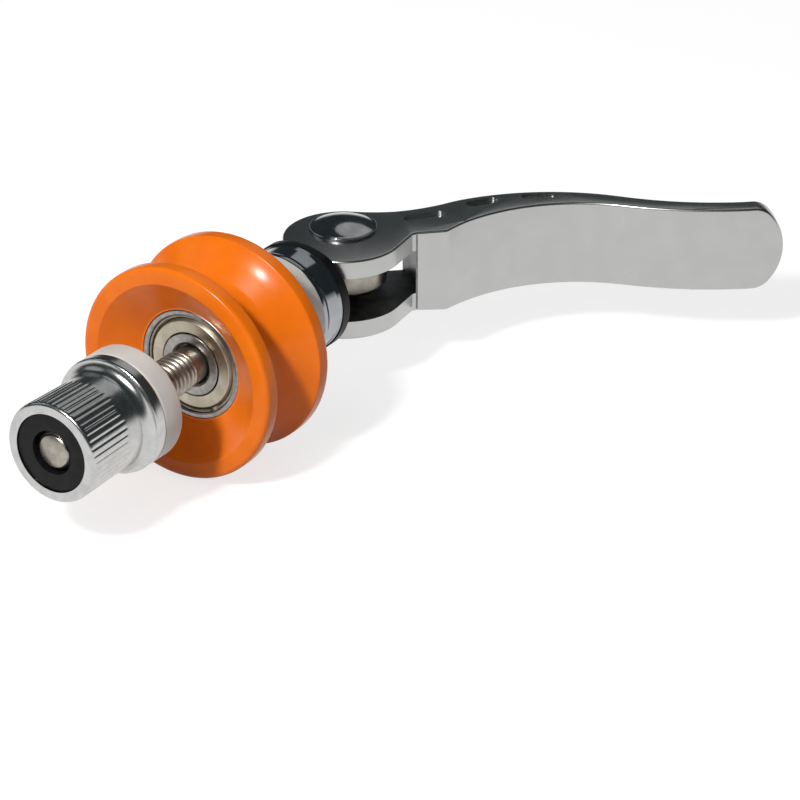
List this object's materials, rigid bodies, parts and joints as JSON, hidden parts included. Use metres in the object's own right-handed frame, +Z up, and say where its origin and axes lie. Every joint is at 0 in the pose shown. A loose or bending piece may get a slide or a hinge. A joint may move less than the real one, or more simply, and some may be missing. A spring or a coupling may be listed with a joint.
{
  "type": "bicycle chain keeper",
  "caption": "Quick release chain keeper: a grooved roller on a ball bearing runs on a threaded skewer, clamped by a cam lever and a fluted lock nut.",
  "frame": {"origin": "point on the skewer's axis in the lever side nylon washer's clamping face, where the frame's dropout seats", "axes": "+Y along the skewer from the adjusting nut to the cam lever, +Z up along the lever's pivot pin"},
  "size_m": [0.089, 0.1523, 0.0426],
  "materials": {
    "plated_steel": "nickel plated, satin, slightly warm",
    "polished_nut": "turned and polished, fine flutes",
    "black_nylon": "moulded, slightly satin",
    "milky_nylon": "milky white nylon, smooth",
    "orange_plastic": "glossy moulded orange",
    "bearing_steel": "ground bearing steel",
    "ball_steel": "polished bearing balls",
    "cage_steel": "pressed steel ribbon",
    "shield_steel": "pressed sheet, warm grey",
    "spring_wire": "dark spring wire",
    "chromed_steel": "bright chrome plating",
    "polished_aluminium": "forged, satin polished",
    "pin_steel": "polished steel, dark reflections"
  },
  "bodies": {
    "skewer": {"skewer_rod": "plated_steel"},
    "lever": {"cam_lever": "polished_aluminium", "pivot_pin": "pin_steel"},
    "cup": {"cam_cup": "chromed_steel", "cam_pad": "black_nylon"},
    "lever_washer": {"cup_washer": "milky_nylon"},
    "nut_carrier": {"nut_washer": "milky_nylon"},
    "nut": {"adjusting_nut": "polished_nut", "lock_insert": "black_nylon"},
    "inner_ring": {"bearing_inner_ring": "bearing_steel"},
    "roller": {"roller": "orange_plastic", "bearing_outer_ring": "bearing_steel", "bearing_shield_front": "shield_steel", "bearing_shield_back": "shield_steel", "snap_ring_front": "spring_wire", "snap_ring_back": "spring_wire"},
    "cage": {"bearing_balls": "ball_steel", "bearing_cage_front": "cage_steel", "bearing_cage_back": "cage_steel", "cage_rivets": "cage_steel"}
  },
  "joints": [
    {"name": "lever_pivot", "type": "hinge", "parent": "skewer", "child": "lever", "pos_m": [0, 0.02774, 0], "axis": [0, 0, 1], "range_deg": [-40, 140]},
    {"name": "cup_slide", "type": "slide", "parent": "skewer", "child": "cup", "axis": [0, 1, 0], "range_m": [-0.001, 0.0034]},
    {"name": "lever_washer_slide", "type": "slide", "parent": "cup", "child": "lever_washer", "axis": [0, -1, 0], "range_m": [0, 0.0045]},
    {"name": "nut_travel", "type": "slide", "parent": "skewer", "child": "nut_carrier", "axis": [0, 1, 0], "range_m": [-0.0051, 0.0126]},
    {"name": "nut_turn", "type": "hinge", "parent": "nut_carrier", "child": "nut", "pos_m": [0, -0.0559, 0], "axis": [0, 1, 0], "range_deg": [-1440, 3600]},
    {"name": "roller_slide", "type": "slide", "parent": "skewer", "child": "inner_ring", "axis": [0, 1, 0], "range_m": [-0.004, 0.0015]},
    {"name": "roller_spin", "type": "hinge", "parent": "inner_ring", "child": "roller", "pos_m": [0, -0.0198, 0], "axis": [0, 1, 0], "continuous": true},
    {"name": "cage_spin", "type": "hinge", "parent": "inner_ring", "child": "cage", "pos_m": [0, -0.0198, 0], "axis": [0, 1, 0], "continuous": true}
  ],
  "couplings": [
    {"joint": "cup_slide", "follows": "lever_pivot", "m_per_rad": 0.001334},
    {"joint": "nut_travel", "follows": "nut_turn", "m_per_rad": 0.00019894},
    {"joint": "cage_spin", "follows": "roller_spin", "ratio": 0.6323}
  ]
}
